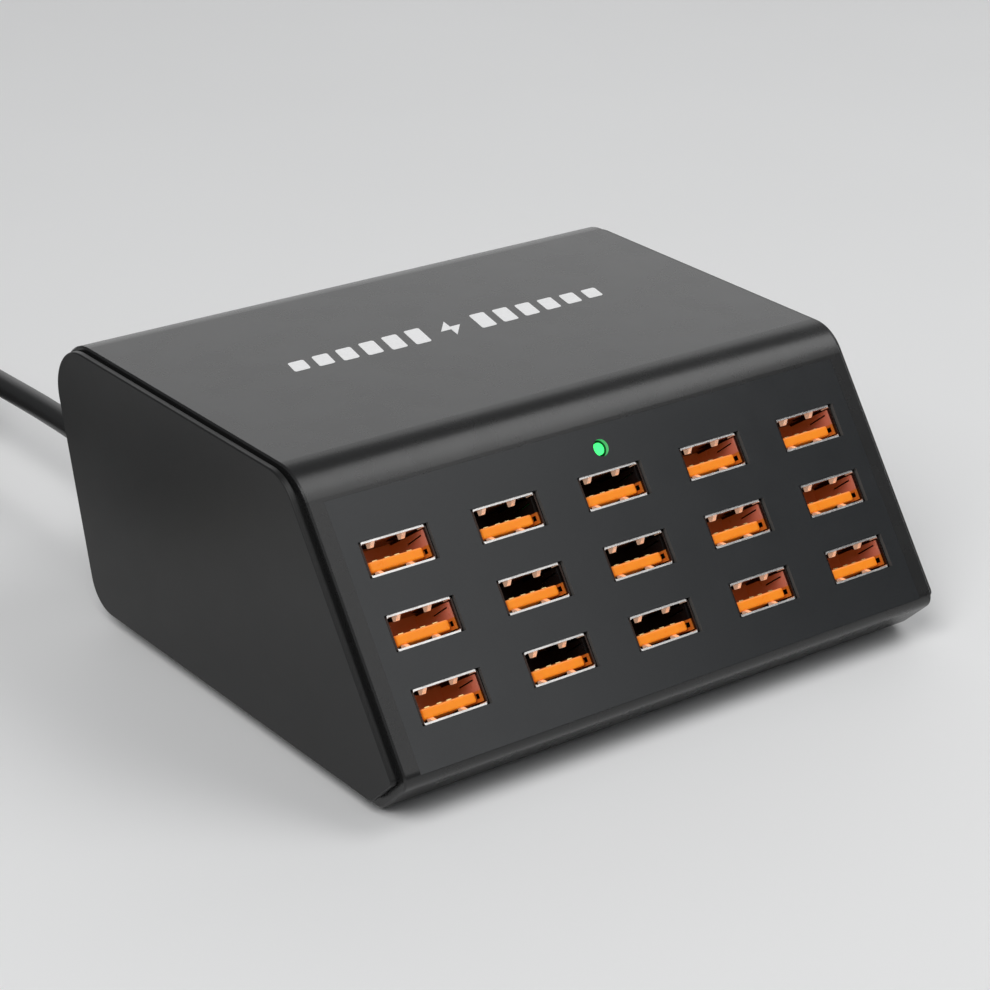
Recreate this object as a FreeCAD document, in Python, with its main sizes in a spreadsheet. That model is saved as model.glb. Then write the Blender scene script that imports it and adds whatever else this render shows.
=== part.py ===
"""Fifteen-socket USB desk charger: a wedge-shaped mains charger with a sloping socket face.

Millimetres, +Z up, +X to the right seen from the front, front towards -Y.
The origin is on the table, under the middle of the case.
"""

import FreeCAD
import Part
import Sketcher
import math
import os

V = FreeCAD.Vector
Rotation = FreeCAD.Rotation
Placement = FreeCAD.Placement

DIMENSIONS = {
    # case section, measured from the line where the socket face would meet the case's flat bottom
    "sleeve_length": 119.5,
    "sleeve_chamfer": 0.3,
    "case_height": 51.6,
    "boss_radius": 3.0,
    "boss_sink": 0.4,
    "foot_height": 1.0,
    "foot_radius": 5.0,
    "front_line": 60.37,
    "front_slope": 54.13,
    "bevel_line": 47.38,
    "bevel_slope": 44.7,
    "back_line": 49.82,
    "back_lean": 16.1,
    "wall": 2.4,
    "radius_top_front": 10.0,
    "radius_top_back": 9.5,
    "radius_bottom_back": 8.0,
    "radius_bevel": 2.6,
    # end caps, from the sleeve outwards
    "cap_groove": 0.6,
    "cap_groove_inset": 2.1,
    "cap_rim": 1.1,
    "cap_rim_inset": 0.75,
    "cap_low_inset": 0.85,
    "cap_rim_round": 0.33,
    "cap_spigot": 4.0,
    "cap_spigot_wall": 1.8,
    "cap_clearance": 0.15,
    # socket face
    "panel_length": 113.2,
    "panel_height": 47.3,
    "panel_start": 10.6,
    "panel_gauge": 0.8,
    "panel_gap": 0.04,
    "window_length": 14.2,
    "window_height": 6.3,
    "column_pitch": 23.02,
    "row_pitch": 12.81,
    "first_row": 21.1,
    "led_line": 53.8,
    "led_hole": 3.15,
    "led_recess": 0.8,
    "led_gap": 0.45,
    "chip_length": 3.0,
    "chip_width": 2.4,
    "chip_height": 1.1,
    "chip_room": 1.2,
    # USB type A socket
    "mouth_recess": 0.5,
    "shell_length": 13.5,
    "shell_height": 6.2,
    "shell_depth": 14.5,
    "shell_gauge": 0.35,
    "shell_round": 0.7,
    "spring_width": 0.8,
    "spring_length": 6.5,
    "spring_peak": 1.5,
    "spring_crest": 0.4,
    "spring_sink": 0.04,
    "spring_setback": 0.3,
    "side_cut": 1.6,
    "latch_width": 0.9,
    "latch_length": 1.5,
    "latch_setback": 1.0,
    "latch_drop": 1.3,
    "slit_width": 0.3,
    "slit_length": 5.2,
    "slit_setback": 1.3,
    "slit_rise": 1.7,
    "slit_tilt": 4.8,
    "tongue_length": 10.9,
    "tongue_gauge": 1.8,
    "tongue_drop": 1.25,
    "tongue_setback": 1.2,
    "rear_block": 2.6,
    "tongue_round": 0.35,
    "cheek_gauge": 0.35,
    "cheek_setback": 0.6,
    "cheek_margin": 0.78,
    "insulator_gap": 0.01,
    "contact_width": 1.0,
    "contact_gauge": 0.2,
    "contact_length": 7.0,
    "contact_setback": 2.3,
    # circuit boards
    "board_gauge": 1.6,
    "port_board_length": 112.0,
    "port_board_height": 38.0,
    "port_board_shift": 3.4,
    "power_board_length": 100.0,
    "power_board_width": 48.0,
    "power_board_front": -13.0,
    "power_board_lift": 3.0,
    # transformer
    "core_x": 13.0,
    "core_y": 12.0,
    "core_length": 30.0,
    "core_width": 14.0,
    "core_height": 26.0,
    "core_yoke": 4.5,
    "core_window": 7.5,
    "core_window_side": 7.75,
    "winding_length": 22.6,
    "winding_width": 24.0,
    "winding_gap": 0.2,
    "winding_bore": 8.2,
    "winding_corner": 5.0,
    # capacitors, heat sinks and the devices screwed to them
    "crimp_radius": 0.8,
    "crimp_height": 2.6,
    "bulk_radius": 8.0,
    "bulk_height": 25.0,
    "bulk_x": -19.0,
    "bulk_y": 22.0,
    "can_radius": 4.0,
    "can_height": 16.0,
    "can_x": 43.0,
    "can_y": -3.0,
    "can_pitch": 9.5,
    "sink_gauge": 2.0,
    "sink_length": 34.0,
    "sink_height": 27.0,
    "sink_y": 14.0,
    "primary_sink_x": -8.0,
    "secondary_sink_x": 31.0,
    "fin_length": 4.2,
    "fin_gauge": 1.4,
    "fin_pitch": 8.0,
    "fin_sink": 0.1,
    "transistor_y": 4.0,
    "rectifier_y": 26.0,
    "device_lift": 4.0,
    "device_width": 10.0,
    "tab_gauge": 1.3,
    "tab_height": 15.0,
    "mould_gauge": 3.2,
    "mould_height": 9.0,
    "leg_width": 0.9,
    "leg_pitch": 2.54,
    "screw_height": 16.2,
    "screw_hole": 3.2,
    "screw_shank": 3.0,
    "screw_head": 5.2,
    "screw_head_height": 1.8,
    # line filter and fuse
    "choke_x": -36.0,
    "choke_y": 4.0,
    "choke_radius": 7.0,
    "choke_thickness": 6.8,
    "fuse_x": -46.0,
    "fuse_y": 8.0,
    "fuse_length": 19.0,
    "fuse_cap": 4.0,
    "fuse_cap_radius": 2.8,
    "fuse_tube_radius": 2.4,
    # mains cord
    "cord_diameter": 5.0,
    "cord_side": -41.0,
    "cord_lift": 18.3,
    "gland_neck": 8.0,
    "hole_depth": 20.0,
    "boot_collar": 12.4,
    "boot_collar_length": 3.0,
    "boot_root": 10.4,
    "boot_tip": 6.6,
    "boot_end": 72.6,
    "flange_depth": 5.6,
    "slab_size": 60.0,
    "first_slot": 2.6,
    "slot_pitch": 3.1,
    "slot_width": 1.2,
    "slot_margin": 0.1,
    "slot_bridge": 3.2,
    "coil_turn": 26.25,
    "coil_width": 15.5,
    "coil_height": 20.0,
    "coil_x": -72.5,
    "coil_y": 144.0,
    "coil_room": 0.4,
    "coil_meet": 8.0,
    "plug_rear": 110.0,
    "plug_length": 27.0,
    "plug_width": 20.0,
    "plug_height": 14.0,
    "plug_corner": 3.0,
    "plug_boot": 18.0,
    "plug_boot_root": 10.4,
    "plug_boot_tip": 6.8,
    "blade_length": 17.0,
    "blade_width": 6.35,
    "blade_gauge": 1.5,
    "blade_spacing": 12.7,
    # wires inside the case
    "wire_bend": 2.0,
    "mains_wire": 1.8,
    "mains_run": 9.0,
    "mains_spread": 1.6,
    "mains_rise": 4.0,
    "output_wire": 1.6,
    "output_rise": 7.0,
    "output_reach": 6.0,
    "output_drop": 1.0,
    "output_setback": 3.0,
}
COLUMNS = (-2, -1, 0, 1, 2)
ROWS = (0, 1, 2)
SMALLEST_CORNER = 0.5
LOW_SIDES = ("front", "bottom", "bevel")
SLOPE_OF = {
    "front": "dims.front_slope * 1 deg",
    "back": "-(90 + dims.back_lean) * 1 deg",
    "bevel": "(180 - dims.bevel_slope) * 1 deg",
}
BOSS_PLACES = ((-44, -7), (44, -7), (-44, 29), (44, 29))
FOOT_PLACES = ((-47, -34), (47, -34), (-47, 28), (47, 28))
ON_CORD = ("strain_relief", "power_cord", "power_cord_coil", "power_cord_tail", "plug_body", "plug_blades")
# corners of the cord's two free runs, as y and z, from the case to the coil and from the coil to the plug
LEAD_BENDS = ((91, 19.0), (120, 17.8))
TAIL_BENDS = ((127, 2.5), (118, 5.3))
MAINS_WIRES = (-1.6, 1.6)
OUTPUT_WIRES = (34.0, 36.4, 38.8, 41.2)
# contact blades of one socket: place along the tongue
CONTACTS = (-3.5, -1.0, 1.0, 3.5)
# shell springs of one socket: upper or lower wall, place along the wall, rise at the crest
SPRINGS = ((1, -3.8, 0.85), (1, 2.5, 0.85), (-1, -4.0, 0.58), (-1, 2.3, 0.58))

doc = FreeCAD.newDocument("usb_desk_charger")
sheet = doc.addObject("Spreadsheet::Sheet", "dims")
for line, (alias, value) in enumerate(DIMENSIONS.items(), start=1):
    sheet.set(f"A{line}", alias)
    sheet.set(f"B{line}", str(value))
    sheet.setAlias(f"B{line}", alias)
doc.recompute()

nodes = []


def size(alias):
    """The sheet's number for an alias."""
    return float(sheet.get(alias))


def node(item, label, placement=None):
    """Register an object as a sub-part with its own label and place."""
    item.Label = label
    if placement is not None:
        item.Placement = placement
    nodes.append(item)
    return item


def bind(item, **expressions):
    """Bind an object's properties to expressions over the sheet."""
    for name, expression in expressions.items():
        item.setExpression(name, str(expression))


def stand(item, x, y, z):
    """Bind an object's position."""
    for axis, expression in zip("xyz", (x, y, z)):
        item.setExpression(f"Placement.Base.{axis}", str(expression))


def block(name, length, width, height, x="0", y="0", z="0"):
    """A box centred on x and y, with its underside at z."""
    item = doc.addObject("Part::Box", name)
    bind(item, Length=length, Width=width, Height=height)
    stand(item, f"({x}) - ({length}) / 2", f"({y}) - ({width}) / 2", z)
    return item


def rod(name, radius, height, x="0", y="0", z="0", turn=None):
    """A cylinder that starts at x, y, z and runs along +Z, or along the turned axis."""
    item = doc.addObject("Part::Cylinder", name)
    bind(item, Radius=radius, Height=height)
    if turn is not None:
        item.Placement = Placement(V(), turn)
    stand(item, x, y, z)
    return item


def taper(name, radius_start, radius_end, height, x="0", y="0", z="0", turn=None):
    """A cone frustum placed as rod() places a cylinder."""
    item = doc.addObject("Part::Cone", name)
    bind(item, Radius1=radius_start, Radius2=radius_end, Height=height)
    if turn is not None:
        item.Placement = Placement(V(), turn)
    stand(item, x, y, z)
    return item


def fuse(name, items):
    item = doc.addObject("Part::MultiFuse", name)
    item.Shapes = items
    return item


def cut(name, base, tool):
    item = doc.addObject("Part::Cut", name)
    item.Base = base
    item.Tool = tool
    return item


def group(name, items):
    """Several separate solids in one object."""
    item = doc.addObject("Part::Compound", name)
    item.Links = items
    return item


def rounded(name, base, radius, wanted):
    """Fillet the edges of base that the wanted(edge) test picks."""
    doc.recompute()
    item = doc.addObject("Part::Fillet", name)
    item.Base = base
    picked = [i for i, edge in enumerate(base.Shape.Edges, start=1) if wanted(edge)]
    item.Edges = [(i, radius, radius) for i in picked]
    return item


def direction(edge):
    """The unit vector along a straight edge."""
    first, last = edge.Vertexes[0].Point, edge.Vertexes[-1].Point
    along = last - first
    return along.normalize() if along.Length > 1e-6 else V()


def along_z(edge):
    return abs(direction(edge).z) > 0.999


def along_y(edge):
    return abs(direction(edge).y) > 0.999


TO_PLUS_Y = Rotation(V(1, 0, 0), -90)
TO_PLUS_X = Rotation(V(0, 1, 0), 90)
FACE = Placement(
    V(0, -size("front_line"), size("foot_height")), Rotation(V(1, 0, 0), size("front_slope"))
)
BACK = Placement(
    V(0, size("back_line"), size("foot_height") + size("case_height") / 2),
    Rotation(V(1, 0, 0), 90 - size("back_lean")),
)


def on_face(x, up, out=0.0):
    """A place on the socket face: x across, up the slope, out along the outward normal."""
    return FACE.multiply(Placement(V(x, up, out), Rotation()))


# ---------------------------------------------------------------- case section

# distance of each line of the section from the origin, before any inset
FROM_ORIGIN = {
    "front": "(dims.front_line * sin(dims.front_slope * 1 deg)"
    " + dims.foot_height * cos(dims.front_slope * 1 deg))",
    "top": "(dims.foot_height + dims.case_height)",
    "back": "(dims.back_line * cos(dims.back_lean * 1 deg)"
    " - (dims.foot_height + dims.case_height / 2) * sin(dims.back_lean * 1 deg))",
    "bottom": "(-dims.foot_height)",
    "bevel": "(dims.bevel_line * sin(dims.bevel_slope * 1 deg)"
    " - dims.foot_height * cos(dims.bevel_slope * 1 deg))",
}


def section_lines(insets):
    """Each side of the section as (direction, distance from the origin), clockwise from the front."""
    slope = math.radians(size("front_slope"))
    lean = math.radians(size("back_lean"))
    bevel = math.radians(size("bevel_slope"))
    foot = size("foot_height")
    middle = foot + size("case_height") / 2
    front = size("front_line") * math.sin(slope) + foot * math.cos(slope)
    back = size("back_line") * math.cos(lean) - middle * math.sin(lean)
    toe = size("bevel_line") * math.sin(bevel) - foot * math.cos(bevel)
    return {
        "front": (V(math.cos(slope), math.sin(slope), 0), front - insets["front"]),
        "top": (V(1, 0, 0), foot + size("case_height") - insets["top"]),
        "back": (V(-math.sin(lean), -math.cos(lean), 0), back - insets["back"]),
        "bottom": (V(-1, 0, 0), -foot - insets["bottom"]),
        "bevel": (V(-math.cos(bevel), math.sin(bevel), 0), toe - insets["bevel"]),
    }


def crossing(first, second):
    """Where two (direction, distance) lines cross; each outward normal is 90 degrees left."""
    (a, da), (b, db) = first, second
    na, nb = V(-a.y, a.x, 0), V(-b.y, b.x, 0)
    det = na.x * nb.y - na.y * nb.x
    return V((da * nb.y - db * na.y) / det, (na.x * db - nb.x * da) / det, 0)


CORNER_RADIUS = {
    "front": "radius_top_front",
    "top": "radius_top_back",
    "back": "radius_bottom_back",
    "bottom": "radius_bevel",
    "bevel": "radius_bevel",
}


def total(aliases):
    """An expression and the number for a sum of sheet cells."""
    return " + ".join(f"dims.{a}" for a in aliases) or "0", sum(size(a) for a in aliases)


def section_sketch(body, name, inset=(), offset="0", low=()):
    """The case's side profile at x = offset, inset by a sum of cells, with more for its low sides."""
    totals = {n: total(inset + low if n in LOW_SIDES else inset) for n in CORNER_RADIUS}
    inset_now = {n: number for n, (formula, number) in totals.items()}
    sketch = body.newObject("Sketcher::SketchObject", name)
    plane = [f for f in body.Origin.OriginFeatures if f.Role == "YZ_Plane"][0]
    sketch.AttachmentSupport = [(plane, "")]
    sketch.MapMode = "FlatFace"
    sketch.setExpression("AttachmentOffset.Base.z", offset)
    lines = section_lines(inset_now)
    names = list(lines)
    count = len(names)
    ahead = [lines[n][0] for n in names]
    radii = [max(size(CORNER_RADIUS[n]) - inset_now[n], SMALLEST_CORNER) for n in names]
    corners = [crossing(lines[n], lines[names[(i + 1) % count]]) for i, n in enumerate(names)]
    turns = [math.acos(ahead[i].dot(ahead[(i + 1) % count])) for i in range(count)]
    reach = [radii[i] * math.tan(turns[i] / 2) for i in range(count)]
    for i in range(count):
        start = corners[i - 1] + ahead[i] * reach[i - 1]
        end = corners[i] - ahead[i] * reach[i]
        sketch.addGeometry(Part.LineSegment(start, end), False)
    for i in range(count):
        start = corners[i] - ahead[i] * reach[i]
        end = corners[i] + ahead[(i + 1) % count] * reach[i]
        centre = start + V(ahead[i].y, -ahead[i].x, 0) * radii[i]
        middle = centre + (corners[i] - centre).normalize() * radii[i]
        sketch.addGeometry(Part.Arc(end, middle, start), False)
    for i in range(count):
        sketch.addConstraint(Sketcher.Constraint("Tangent", i, 2, count + i, 2))
        sketch.addConstraint(Sketcher.Constraint("Tangent", count + i, 1, (i + 1) % count, 1))
    for i, n in enumerate(names):
        sketch.addConstraint(Sketcher.Constraint("Radius", count + i, radii[i]))
        sketch.renameConstraint(sketch.ConstraintCount - 1, f"{n}_corner")
        sketch.setExpression(
            f"Constraints.{n}_corner",
            f"max(dims.{CORNER_RADIUS[n]} - ({totals[n][0]}); {SMALLEST_CORNER})",
        )
        if n in SLOPE_OF:
            angle = math.atan2(ahead[i].y, ahead[i].x)
            sketch.addConstraint(Sketcher.Constraint("Angle", i, angle))
            sketch.renameConstraint(sketch.ConstraintCount - 1, f"{n}_angle")
            sketch.setExpression(f"Constraints.{n}_angle", SLOPE_OF[n])
        else:
            sketch.addConstraint(Sketcher.Constraint("Horizontal", i))
        distance = abs(lines[n][1])
        sketch.addConstraint(Sketcher.Constraint("Distance", -1, 1, i, distance))
        sketch.renameConstraint(sketch.ConstraintCount - 1, f"{n}_distance")
        sketch.setExpression(
            f"Constraints.{n}_distance", f"abs({FROM_ORIGIN[n]} - ({totals[n][0]}))"
        )
    return sketch


def pad(body, name, sketch, length, inward=False, symmetric=False):
    item = body.newObject("PartDesign::Pad", name)
    item.Profile = sketch
    item.setExpression("Length", length)
    item.Reversed = inward
    if symmetric:
        item.SideType = "Symmetric"
    return item


def pocket(body, name, sketch, length, symmetric=False):
    item = body.newObject("PartDesign::Pocket", name)
    item.Profile = sketch
    item.setExpression("Length", length)
    if symmetric:
        item.SideType = "Symmetric"
    return item


def break_edges(body, kind, name, formula, wanted):
    """Fillet or chamfer the body's edges that the wanted(edge) test picks."""
    doc.recompute()
    picked = [f"Edge{i}" for i, edge in enumerate(body.Shape.Edges, start=1) if wanted(edge)]
    stack = body.Tip
    item = body.newObject(f"PartDesign::{kind}", name)
    item.Base = (stack, picked)
    item.setExpression("Radius" if kind == "Fillet" else "Size", formula)


# ---------------------------------------------------------------- case


def make_housing():
    """One wrap-round sleeve: hollow section, panel recess, socket windows, bosses and cord hole."""
    body = doc.addObject("PartDesign::Body", "sleeve")
    pad(body, "sleeve_solid", section_sketch(body, "outer_section"), "dims.sleeve_length", symmetric=True)
    end = size("sleeve_length") / 2 - 0.01
    break_edges(
        body, "Chamfer", "sleeve_end_chamfer", "dims.sleeve_chamfer",
        lambda edge: edge.BoundBox.XMin > end or edge.BoundBox.XMax < -end,
    )
    inner = section_sketch(body, "inner_section", ("wall",))
    pocket(body, "sleeve_hollow", inner, "dims.sleeve_length + 2", symmetric=True)
    bosses = []
    for i, (x, y) in enumerate(BOSS_PLACES):
        floor = "dims.foot_height + dims.wall - dims.boss_sink"
        lift = "dims.power_board_lift + dims.boss_sink"
        bosses.append(rod(f"boss_{i}", "dims.boss_radius", lift, x, y, floor))
    solid = fuse("sleeve_with_bosses", [body] + bosses)
    recess = block(
        "panel_recess", "dims.panel_length", "dims.panel_height", "dims.panel_gauge + 1",
        y="dims.panel_start + dims.panel_height / 2", z="-dims.panel_gauge",
    )
    tools = [recess] + face_windows("sleeve", "dims.wall + 2", "-dims.wall - 1")
    face_tools = fuse("face_tools", tools)
    face_tools.Placement = FACE
    cord_hole = rod(
        "cord_hole", "dims.gland_neck / 2", "dims.hole_depth", "dims.cord_side",
        "dims.back_line - dims.hole_depth / 2", "dims.cord_lift", TO_PLUS_Y,
    )
    node(cut("housing", solid, fuse("housing_tools", [face_tools, cord_hole])), "main_housing")


def face_windows(name, depth, bottom):
    """Cutters for the socket windows and the lamp hole, in the socket face's own frame."""
    cutters = []
    for row in ROWS:
        for column in COLUMNS:
            cutters.append(
                block(
                    f"{name}_window_{row}_{column + 2}", "dims.window_length", "dims.window_height",
                    depth, f"{column} * dims.column_pitch",
                    f"dims.first_row + {row} * dims.row_pitch", bottom,
                )
            )
    cutters.append(rod(f"{name}_lamp", "dims.led_hole / 2", depth, "0", "dims.led_line", bottom))
    return cutters


def make_panel():
    """The thin satin plate that fills the recess, with the same windows."""
    plate = block(
        "panel_plate", "dims.panel_length - dims.panel_gap", "dims.panel_height - dims.panel_gap",
        "dims.panel_gauge",
        y="dims.panel_start + dims.panel_height / 2", z="-dims.panel_gauge",
    )
    windows = fuse("panel_windows", face_windows("panel", "dims.panel_gauge + 2", "-dims.panel_gauge - 1"))
    node(cut("panel_cut", plate, windows), "front_panel", FACE)


def make_caps():
    """Two snap-in end caps: shadow groove and rounded plate outside the sleeve, spigot inside it."""
    body = doc.addObject("PartDesign::Body", "right_cap")
    end = "dims.sleeve_length / 2"
    groove = section_sketch(body, "cap_groove_section", ("cap_groove_inset",), end)
    pad(body, "cap_groove_pad", groove, "dims.cap_groove")
    outer = section_sketch(
        body, "cap_rim_section", ("cap_rim_inset",), f"{end} + dims.cap_groove", ("cap_low_inset",)
    )
    pad(body, "cap_rim_pad", outer, "dims.cap_rim")
    spigot = section_sketch(body, "spigot_section", ("wall", "cap_clearance"), end)
    pad(body, "spigot_pad", spigot, "dims.cap_spigot", inward=True)
    hollow_inset = ("wall", "cap_clearance", "cap_spigot_wall")
    hollow = section_sketch(body, "spigot_hollow_section", hollow_inset, end)
    pocket(body, "spigot_hollow", hollow, "dims.cap_spigot + 1")
    doc.recompute()
    outside = body.Shape.BoundBox.XMax - 0.01
    break_edges(
        body, "Fillet", "rim_round", "dims.cap_rim_round", lambda edge: edge.BoundBox.XMin > outside
    )
    node(body, "right_end_cap")
    left = doc.addObject("Part::Mirroring", "left_cap")
    left.Source = body
    left.Normal = V(1, 0, 0)
    node(left, "left_end_cap")


def make_feet():
    """Four round rubber pads under the flat of the case."""
    pads = [
        rod(f"foot_{i}", "dims.foot_radius", "dims.foot_height", x, y)
        for i, (x, y) in enumerate(FOOT_PLACES)
    ]
    node(group("feet", pads), "rubber_feet")


# ---------------------------------------------------------------- sockets


def side_cuts(name):
    """Cutters for the latch window and the slanted slit in both side walls of a socket."""
    cutters = []
    for i, side in enumerate((-1, 1)):
        x = f"{side} * (dims.shell_length / 2 - dims.shell_gauge)"
        cutters.append(
            block(
                f"{name}_latch_{i}", "dims.side_cut", "dims.latch_width", "dims.latch_length", x,
                "-dims.latch_drop", "dims.shell_depth - dims.latch_setback - dims.latch_length",
            )
        )
        slit = doc.addObject("Part::Box", f"{name}_slit_{i}")
        bind(slit, Length="dims.side_cut", Width="dims.slit_width", Height="dims.slit_length")
        slit.Placement = Placement(V(), Rotation(V(1, 0, 0), 180 - size("slit_tilt")))
        stand(slit, f"{x} - dims.side_cut / 2", "dims.slit_rise", "dims.shell_depth - dims.slit_setback")
        cutters.append(slit)
    return fuse(f"{name}_side_cuts", cutters)


def make_shell(name):
    """A folded steel shell, open at both ends, with four contact springs that bulge inwards at the mouth."""
    outer = block(f"{name}_outer", "dims.shell_length", "dims.shell_height", "dims.shell_depth")
    bore = block(
        f"{name}_bore", "dims.shell_length - 2 * dims.shell_gauge",
        "dims.shell_height - 2 * dims.shell_gauge", "dims.shell_depth + 2", z="-1",
    )
    tube = cut(
        f"{name}_tube",
        rounded(f"{name}_outer_round", outer, size("shell_round"), along_z),
        rounded(f"{name}_bore_round", bore, size("shell_round") - size("shell_gauge"), along_z),
    )
    springs = []
    crest = "dims.shell_depth - dims.spring_peak"
    for i, (side, x, rise) in enumerate(SPRINGS):
        spring = doc.addObject("Part::Wedge", f"{name}_spring_{i}")
        bind(spring, Xmin="-dims.spring_width / 2", Xmax="dims.spring_width / 2")
        bind(spring, X2min="-dims.spring_width / 2", X2max="dims.spring_width / 2")
        bind(spring, Ymin="0", Ymax=f"{rise} + dims.spring_sink")
        bind(spring, Zmin="dims.shell_depth - dims.spring_length")
        bind(spring, Zmax="dims.shell_depth - dims.spring_setback")
        bind(spring, Z2min=f"{crest} - dims.spring_crest / 2", Z2max=f"{crest} + dims.spring_crest / 2")
        spring.Placement = Placement(V(), Rotation(V(0, 0, 1), 180 if side > 0 else 0))
        stand(spring, x, f"{side} * (dims.shell_height / 2 - dims.shell_gauge + dims.spring_sink)", "0")
        springs.append(spring)
    return cut(f"{name}_steel", fuse(f"{name}_folded", [tube] + springs), side_cuts(f"{name}_steel"))


def make_insulator(name):
    """Orange moulding: rear block, contact tongue in the lower half, and two thin side cheeks."""
    inner_length = "(dims.shell_length - 2 * dims.shell_gauge - 2 * dims.insulator_gap)"
    inner_height = "(dims.shell_height - 2 * dims.shell_gauge - 2 * dims.insulator_gap)"
    rear = block(f"{name}_rear", inner_length, inner_height, "dims.rear_block")
    rear_round = rounded(f"{name}_rear_round", rear, size("shell_round") - size("shell_gauge"), along_z)
    tongue = block(
        f"{name}_tongue", "dims.tongue_length", "dims.tongue_gauge",
        "dims.shell_depth - dims.tongue_setback", y="-dims.tongue_drop",
    )
    tip = size("shell_depth") - size("tongue_setback")
    nose = rounded(
        f"{name}_nose", tongue, size("tongue_round"),
        lambda edge: edge.BoundBox.ZMin > tip - 0.01 or along_z(edge),
    )
    cheeks = [
        block(
            f"{name}_cheek_{i}", "dims.cheek_gauge", f"{inner_height} - dims.cheek_margin",
            "dims.shell_depth - dims.cheek_setback", f"{side} * ({inner_length} - dims.cheek_gauge) / 2",
        )
        for i, side in enumerate((-1, 1))
    ]
    solid = fuse(f"{name}_moulding", [rear_round, nose] + cheeks)
    return cut(f"{name}_body", solid, side_cuts(f"{name}_body"))


def contact_blades(name, x, up):
    """Four contact blades on the upper face of one tongue, in the socket face's frame."""
    blades = []
    top = "(dims.tongue_gauge / 2 - dims.tongue_drop)"
    for i, across in enumerate(CONTACTS):
        blades.append(
            block(
                f"{name}_{i}", "dims.contact_width", "dims.contact_gauge", "dims.contact_length",
                f"({x}) + {across}", f"({up}) + {top} + dims.contact_gauge / 2",
                "-dims.mouth_recess - dims.contact_setback - dims.contact_length",
            )
        )
    return blades


def make_sockets():
    blades = []
    for row in ROWS:
        for column in COLUMNS:
            tag = f"r{row + 1}_c{column + 3}"
            x = column * size("column_pitch")
            up = size("first_row") + row * size("row_pitch")
            place = on_face(x, up, -size("mouth_recess") - size("shell_depth"))
            node(make_shell(f"shell_{tag}"), f"usb_shell_{tag}", place)
            node(make_insulator(f"insulator_{tag}"), f"usb_insulator_{tag}", place)
            blades += contact_blades(
                f"blade_{tag}", f"{column} * dims.column_pitch", f"dims.first_row + {row} * dims.row_pitch"
            )
    node(group("contact_blades", blades), "usb_contacts", FACE)


def make_lamp():
    """Green status lamp: a clear light guide behind the panel's hole, lit by a chip on the board."""
    guide = rod(
        "guide_rod", "dims.led_hole / 2 - dims.led_gap",
        "dims.mouth_recess + dims.shell_depth - dims.led_recess - dims.chip_room", z="dims.chip_room",
    )
    rise = -size("mouth_recess") - size("shell_depth")
    place = on_face(0, size("led_line"), rise)
    node(group("guide", [guide]), "light_guide", place)
    chip = block("chip_block", "dims.chip_length", "dims.chip_width", "dims.chip_height")
    node(group("chip", [chip]), "status_led", place)


# ---------------------------------------------------------------- circuit boards


def make_boards():
    port = block(
        "port_blank", "dims.port_board_length", "dims.port_board_height", "dims.board_gauge",
        z="-dims.board_gauge",
    )
    rise = -size("mouth_recess") - size("shell_depth")
    middle = size("first_row") + size("row_pitch") + size("port_board_shift")
    node(group("port", [port]), "port_board", on_face(0, middle, rise))
    power = block(
        "power_blank", "dims.power_board_length", "dims.power_board_width", "dims.board_gauge",
        y="dims.power_board_front + dims.power_board_width / 2",
        z="dims.foot_height + dims.wall + dims.power_board_lift",
    )
    node(power, "power_board")


BOARD_TOP = "(dims.foot_height + dims.wall + dims.power_board_lift + dims.board_gauge)"


def make_transformer():
    """E-core pair with a round-cornered winding on the middle limb."""
    x, y = "dims.core_x", "dims.core_y"
    outer = block("core_block", "dims.core_length", "dims.core_width", "dims.core_height", x, y, BOARD_TOP)
    windows = [
        block(
            f"core_window_{i}", "dims.core_window", "dims.core_width + 2",
            "dims.core_height - 2 * dims.core_yoke", f"{x} + {side} * dims.core_window_side", y,
            f"{BOARD_TOP} + dims.core_yoke",
        )
        for i, side in enumerate((-1, 1))
    ]
    node(cut("core", outer, fuse("core_windows", windows)), "transformer_core")
    low = f"{BOARD_TOP} + dims.core_yoke + dims.winding_gap"
    height = "dims.core_height - 2 * dims.core_yoke - 2 * dims.winding_gap"
    coil = block("winding_block", "dims.winding_length", "dims.winding_width", height, x, y, low)
    coil_round = rounded("winding_round", coil, size("winding_corner"), along_z)
    limb = block(
        "winding_bore", "dims.winding_bore", "dims.core_width + dims.winding_gap", "dims.core_height", x, y,
        BOARD_TOP,
    )
    node(cut("winding", coil_round, limb), "transformer_winding")


def capacitor(name, radius, height, x, y):
    """An electrolytic can with a crimped neck near its foot."""
    can = rod(f"{name}_can", radius, height, x, y, BOARD_TOP)
    ring = doc.addObject("Part::Torus", f"{name}_crimp")
    bind(ring, Radius1=f"{radius} + 0.4 * dims.crimp_radius", Radius2="dims.crimp_radius")
    stand(ring, x, y, f"{BOARD_TOP} + dims.crimp_height")
    return cut(f"{name}_sleeve", can, ring)


def heat_sink(name, x):
    """An upright extruded plate with four cooling fins on its right side."""
    y = "dims.sink_y"
    base = block(
        f"{name}_plate", "dims.sink_gauge", "dims.sink_length", "dims.sink_height", x, y, BOARD_TOP
    )
    fins = [
        block(
            f"{name}_fin_{i}", "dims.fin_length", "dims.fin_gauge", "dims.sink_height",
            f"{x} + dims.sink_gauge / 2 + dims.fin_length / 2 - dims.fin_sink",
            f"{y} + {i - 1.5} * dims.fin_pitch", BOARD_TOP,
        )
        for i in range(4)
    ]
    return fuse(f"{name}_finned", [base] + fins)


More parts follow.
